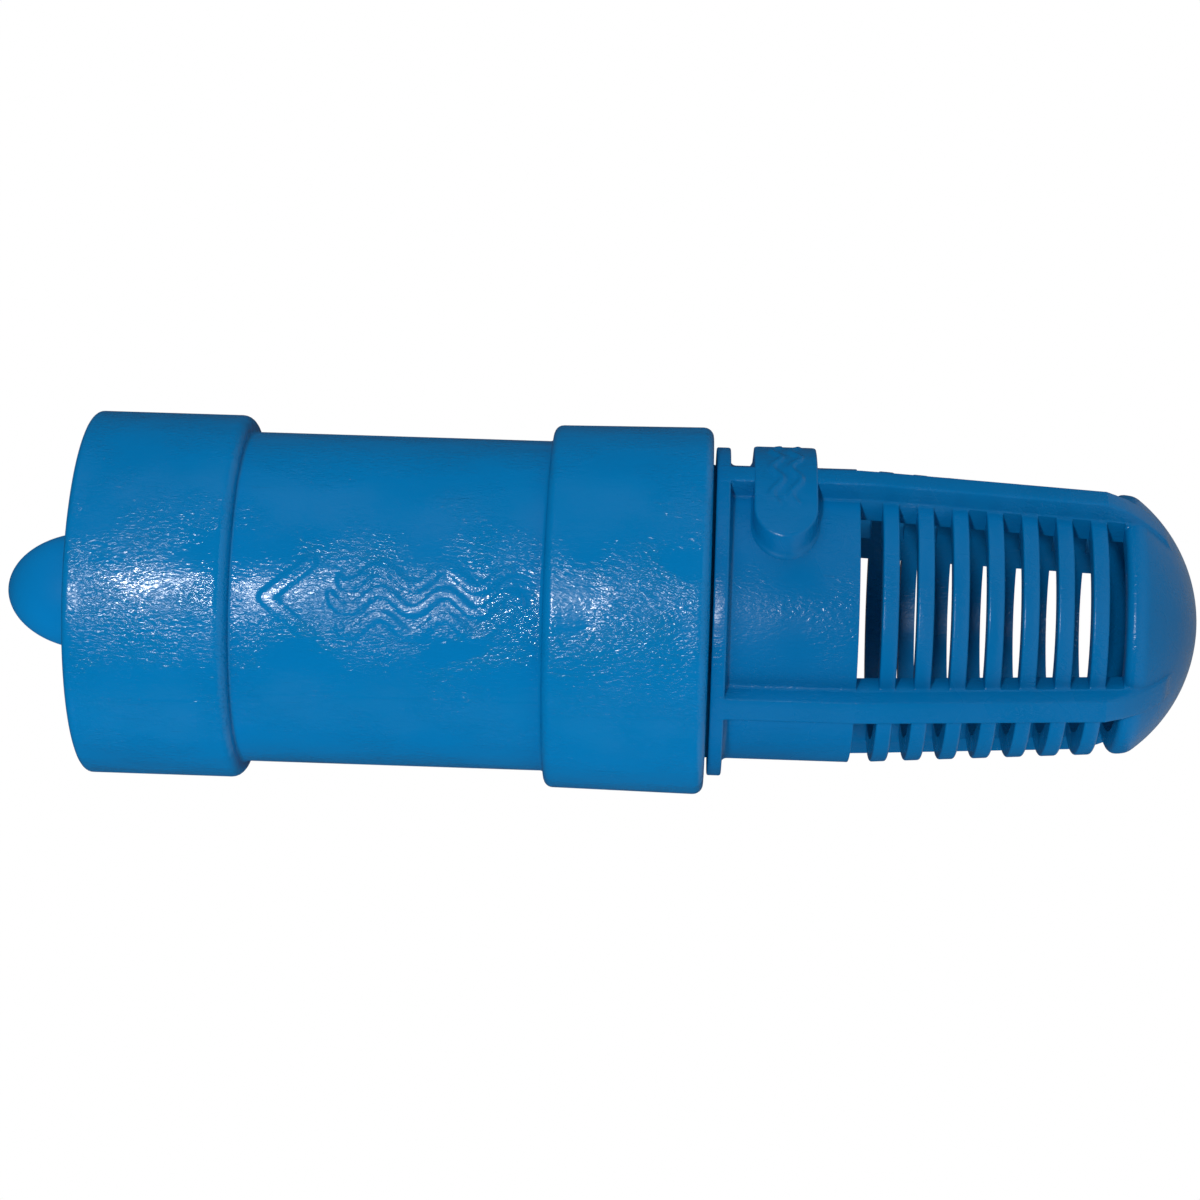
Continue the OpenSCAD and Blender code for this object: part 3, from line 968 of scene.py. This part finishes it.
def moulded_plastic(name, colour, dark, rough, wrinkle, specular, scuffs=0.5):
    """Glossy moulded plastic: slow colour drift, fine wrinkles along the axis, and scuffs."""
    n = Nodes(name)
    drift = n.noise(n.stretched(22, 22, 30), detail=2)
    tint = n.mix(n.remap(drift, *MOST_NOISE), colour, dark)
    scuff = n.noise(n.stretched(0.5, 0.5, 7), detail=3, distortion=0.6)
    patch = n.noise(n.stretched(9, 9, 9), detail=1)
    marks = n.math("MULTIPLY", n.remap(scuff, 0.66, 0.74, 0, scuffs), n.remap(patch, 0.5, 0.62))
    n.link(n.mix(marks, tint, tuple(0.72 * c for c in dark)), n.shader.inputs["Base Color"])
    fine = n.noise(n.stretched(0.42, 0.42, 0.95), detail=2, rough=0.55, distortion=0.7)
    where = n.remap(n.noise(n.stretched(7, 7, 11), detail=1), 0.36, 0.6, 0.25, 1.0)
    slow = n.noise(n.stretched(3.5, 3.5, 6), detail=2)
    relief = n.bump(slow, 0.10)
    relief = n.bump(n.math("MULTIPLY", fine, where), wrinkle, relief)
    n.normal(relief)
    n.roughness(patch, rough - 0.05, rough + 0.07)
    n.shader.inputs["Specular IOR Level"].default_value = specular
    return n.material


def guide_plastic():
    n = Nodes("guide_black_plastic")
    grain = n.noise(n.stretched(0.3, 0.3, 0.3), detail=3)
    drift = n.noise(n.stretched(8, 8, 8), detail=2)
    n.colour(drift, (0.018, 0.018, 0.02), (0.03, 0.03, 0.032))
    n.normal(n.bump(grain, 0.03))
    n.roughness(drift, 0.42, 0.55)
    return n.material


def seat_plastic():
    n = Nodes("seat_natural_plastic")
    drift = n.noise(n.stretched(9, 9, 9), detail=3)
    n.colour(drift, (0.74, 0.72, 0.64), (0.66, 0.63, 0.54))
    n.normal(n.bump(n.noise(n.stretched(0.5, 0.5, 0.5), detail=2), 0.02))
    n.roughness(drift, 0.3, 0.42)
    n.shader.inputs["Subsurface Weight"].default_value = 0.1
    n.shader.inputs["Subsurface Radius"].default_value = (0.002, 0.0018, 0.0014)    # metres
    return n.material


def seal_rubber():
    n = Nodes("seal_black_rubber")
    grain = n.noise(n.stretched(0.15, 0.15, 0.15), detail=3)
    drift = n.noise(n.stretched(5, 5, 5), detail=2)
    n.colour(drift, (0.013, 0.013, 0.014), (0.024, 0.023, 0.023))
    n.normal(n.bump(grain, 0.02))
    n.roughness(drift, 0.6, 0.75)
    return n.material


def stainless_steel():
    n = Nodes("stainless_steel_drawn")
    lines = n.noise(n.stretched(0.08, 0.08, 0.6), detail=2)
    drift = n.noise(n.stretched(4, 4, 4), detail=2)
    n.colour(drift, (0.62, 0.62, 0.63), (0.5, 0.5, 0.52))
    n.normal(n.bump(lines, 0.01))
    n.roughness(lines, 0.2, 0.34)
    n.shader.inputs["Metallic"].default_value = 1.0
    return n.material


BODY_BLUE = moulded_plastic("body_blue_plastic", (0.0, 0.185, 0.475), (0.0, 0.172, 0.445),
                            rough=0.15, wrinkle=0.2, specular=0.3)
# The strainer is the body's blue plastic painted darker: painted shade for the light falling off towards
# the strainer's end.
STRAINER_BLUE_PAINTED_SHADE = moulded_plastic("strainer_blue_plastic_painted_shade", (0.0, 0.146, 0.39), (0.0, 0.136, 0.365),
                                rough=0.24, wrinkle=0.1, specular=0.25, scuffs=0.25)
# The poppet is the body's blue plastic painted lighter: painted light on the poppet's nose.
POPPET_BLUE_PAINTED_LIGHT = moulded_plastic("poppet_blue_plastic_painted_light", (0.0, 0.215, 0.56), (0.0, 0.205, 0.54),
                              rough=0.36, wrinkle=0.02, specular=0.18)
BLACK = guide_plastic()
NATURAL = seat_plastic()
RUBBER = seal_rubber()
STEEL = stainless_steel()


# ---------------------------------------------------------------- the pieces in the frame
def install(piece, node, body, material):
    """Puts a finished piece in the place of its CAD node."""
    piece.data.materials.clear()
    piece.data.materials.append(material)
    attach(piece, body)
    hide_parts(node)
    return piece


install(valve_body(), "valve_body", "housing", BODY_BLUE)
install(stem_guide(), "stem_guide", "housing", BLACK)
install(poppet_stem(), "poppet_stem", "poppet", POPPET_BLUE_PAINTED_LIGHT)
install(poppet_head(), "poppet_head", "poppet", POPPET_BLUE_PAINTED_LIGHT)
install(poppet_seal(), "poppet_seal", "poppet", RUBBER)
install(seal_retainer(), "seal_retainer", "poppet", POPPET_BLUE_PAINTED_LIGHT)
install(retainer_washer(), "retainer_washer", "poppet", STEEL)
install(retainer_screw(), "retainer_screw", "poppet", STEEL)
install(valve_seat(), "valve_seat", "seat", NATURAL)
install(seat_o_ring(), "seat_o_ring", "seat", RUBBER)
install(strainer(), "strainer", "basket", STRAINER_BLUE_PAINTED_SHADE)

# The poppet's lift shortens the spring against the guide's hub.
spring = install(poppet_spring(), "poppet_spring", "housing", STEEL)
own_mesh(spring)


# ---------------------------------------------------------------- camera, light and floor
# The valve lies on its side in the picture: right is down the axis, and up is level.
right = Vector((0, 0, -1))
front = Vector((math.cos(math.radians(FRONT)), math.sin(math.radians(FRONT)), 0))
up = Vector((math.cos(math.radians(FRONT + 90)), math.sin(math.radians(FRONT + 90)), 0))
VIEW_Z = -74.2                           # height of the axis at the middle of the picture
VIEW_UP = 1.1                            # of the camera above the axis
DISTANCE = 470.0
LENS = 96.35
ROLL, YAW = math.radians(1.85), math.radians(1.45)

axis_in_view = Vector((math.cos(YAW) * math.cos(ROLL), -math.cos(YAW) * math.sin(ROLL), math.sin(YAW)))
up_in_view = Vector((math.sin(ROLL), math.cos(ROLL), 0))
front_in_view = axis_in_view.cross(up_in_view)
turn = Matrix((right, up, front)).transposed() @ Matrix((axis_in_view, up_in_view, front_in_view))
camera_data = bpy.data.cameras.new("camera")
camera_data.lens = LENS
camera_data.sensor_width = 36
camera = bpy.data.objects.new("camera", camera_data)
bpy.context.scene.collection.objects.link(camera)
place = Vector((0, 0, VIEW_Z * MM)) + up * VIEW_UP * MM + turn @ Vector((0, 0, DISTANCE * MM))
camera.matrix_world = Matrix.Translation(place) @ turn.to_4x4()
bpy.context.scene.camera = camera
bpy.context.scene.view_settings.view_transform = "Standard"


def softbox(name, toward, distance, width, height, power, glint=True):
    """A rectangular light that faces the middle of the valve. Its distance and size are metres."""
    data = bpy.data.lights.new(name, "AREA")
    data.shape = "RECTANGLE"
    data.size, data.size_y = width, height
    data.energy = power
    light = bpy.data.objects.new(name, data)
    light.visible_glossy = glint
    bpy.context.scene.collection.objects.link(light)
    middle = Vector((0, 0, VIEW_Z * MM))
    light.location = middle + toward.normalized() * distance
    light.rotation_euler = toward.to_track_quat("Z", "Y").to_euler()
    return light


softbox("key_light", front - right * 0.2 + up * 0.03, 0.8, 0.06, 0.06, 3.0)
softbox("low_fill", front * 0.2 - up - right * 0.15, 0.9, 0.7, 0.7, 5.6, glint=False)
softbox("high_fill", front * 0.45 + up - right * 0.15, 0.9, 0.7, 0.7, 3.3, glint=False)

world = bpy.data.worlds.new("white_studio")
bpy.context.scene.world = world
world.use_nodes = True
nodes, links = world.node_tree.nodes, world.node_tree.links
nodes.remove(nodes["Background"])
rays = nodes.new("ShaderNodeLightPath")


def background(colour, strength):
    node = nodes.new("ShaderNodeBackground")
    node.inputs["Color"].default_value = (*colour, 1)
    node.inputs["Strength"].default_value = strength
    return node.outputs[0]


def for_ray(kind, shown, otherwise):
    """One background for rays of a kind, and another for the rest."""
    node = nodes.new("ShaderNodeMixShader")
    links.new(rays.outputs[kind], node.inputs[0])
    links.new(otherwise, node.inputs[1])
    links.new(shown, node.inputs[2])
    return node.outputs[0]


sky = (0.92, 0.96, 1.0)
lit = for_ray("Is Glossy Ray", background(sky, 0.04), background(sky, 0.12))
surface = for_ray("Is Camera Ray", background((1, 1, 1), 1.0), lit)
links.new(surface, nodes["World Output"].inputs["Surface"])


def floor():
    """A round pale floor with rounded edges."""
    disc_r, top, thickness, edge = 450.0, -260.0, 12, 6.0
    foot = top - thickness
    disc = solid_lathe("floor", [
        (0, foot), (disc_r - edge, foot), (disc_r, foot + edge), (disc_r, top - edge),
        (disc_r - 1.8, top - 1.8), (disc_r - edge, top), (disc_r - 3 * edge, top), (0, top)])
    n = Nodes("floor_paper")
    drift = n.noise(n.stretched(120, 120, 120), detail=2)
    n.colour(drift, (0.8, 0.8, 0.79), (0.76, 0.76, 0.755))
    n.normal(n.bump(n.noise(n.stretched(1.2, 1.2, 1.2), detail=3), 0.03))
    n.shader.inputs["Roughness"].default_value = 0.8
    disc.data.materials.append(n.material)


floor()
